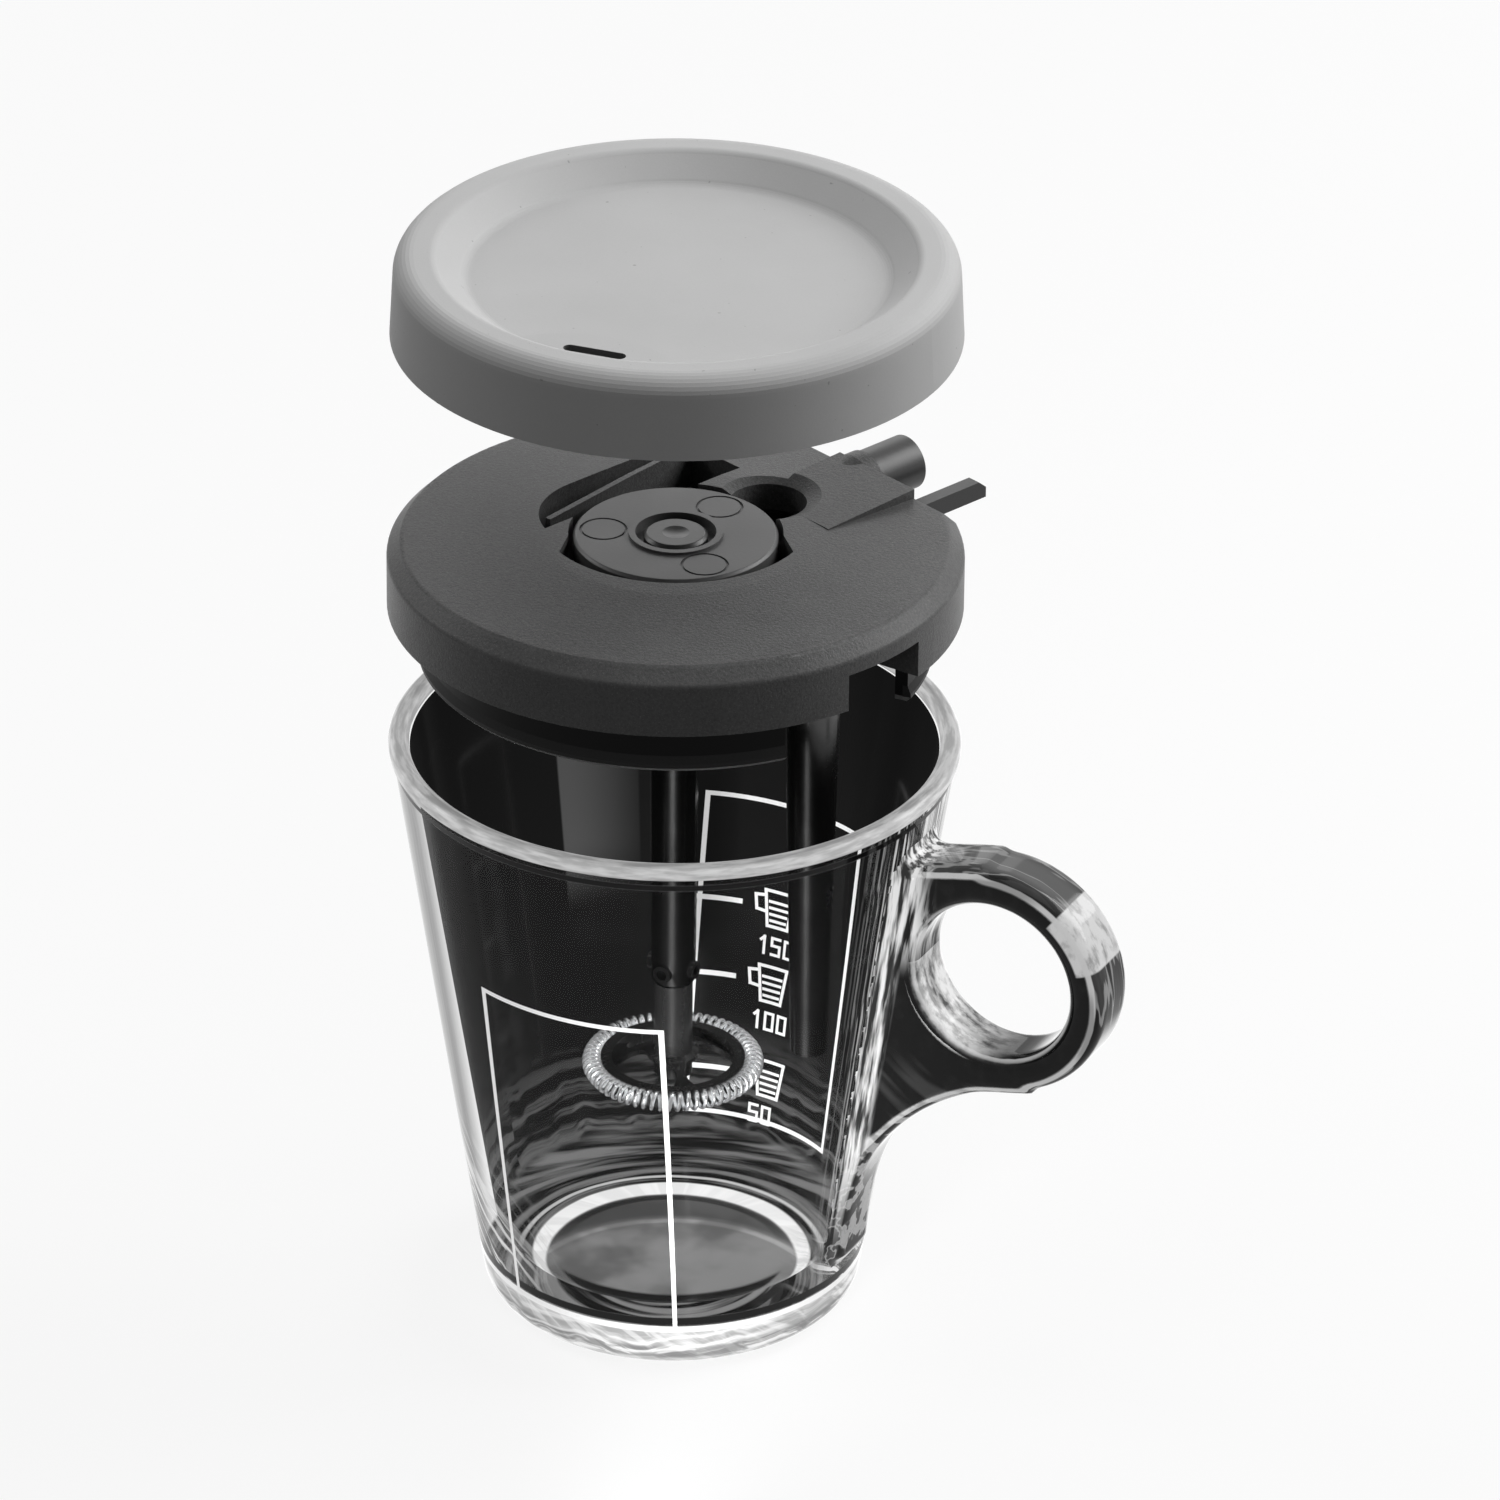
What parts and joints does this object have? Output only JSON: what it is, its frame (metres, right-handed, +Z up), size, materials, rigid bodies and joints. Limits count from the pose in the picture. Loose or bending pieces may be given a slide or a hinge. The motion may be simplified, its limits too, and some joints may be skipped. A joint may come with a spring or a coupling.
{
  "type": "milk frother",
  "caption": "Handled glass mug with a magnet-driven frother head, a spring-ring whisk on a long shaft, a steam tube and a silicone drinking cover, shown lifted apart.",
  "frame": {"origin": "the point under the middle of the mug, on its axis at the table", "axes": "+Z up along the mug's and the whisk's axis; +X towards the mug's handle"},
  "size_m": [0.1143, 0.0854, 0.1706],
  "materials": {
    "clear_glass": "pressed, glossy",
    "charcoal_plastic": "fine grain",
    "black_plastic": "satin",
    "disc_plastic": "smooth satin",
    "seal_rubber": "smooth",
    "hose_silicone": "translucent",
    "bush_metal": "turned",
    "magnet_metal": "nickel plated",
    "spring_steel": "bright drawn wire",
    "cover_silicone": "matt silicone"
  },
  "bodies": {
    "mug": {"glass_mug": "clear_glass"},
    "head": {"head_cover": "charcoal_plastic", "head_base": "black_plastic", "rim_seal": "seal_rubber", "guide_peg": "black_plastic", "steam_connector": "black_plastic", "connector_seal": "seal_rubber", "steam_hose": "hose_silicone", "steam_tube": "black_plastic", "tube_seal": "seal_rubber", "coffee_chute": "black_plastic", "shaft_sleeve": "black_plastic", "upper_bush": "bush_metal", "lower_bush": "bush_metal"},
    "rotor": {"drive_disc": "disc_plastic", "drive_magnets": "magnet_metal", "magnet_plate": "black_plastic", "drive_cap": "disc_plastic", "thrust_washer": "spring_steel", "drive_shaft": "spring_steel", "whisk_hub": "black_plastic", "whisk_spring": "spring_steel"},
    "cover": {"silicone_cover": "cover_silicone"}
  },
  "joints": [
    {"name": "head_lift", "type": "slide", "parent": "mug", "child": "head", "axis": [0, 0, 1], "range_m": [-0.0215, 0.062]},
    {"name": "whisk_spin", "type": "hinge", "parent": "head", "child": "rotor", "pos_m": [0, 0, 0.1146], "axis": [0, 0, 1], "continuous": true},
    {"name": "cover_lift", "type": "slide", "parent": "head", "child": "cover", "axis": [0, 0, 1], "range_m": [-0.0309, 0.03]}
  ]
}
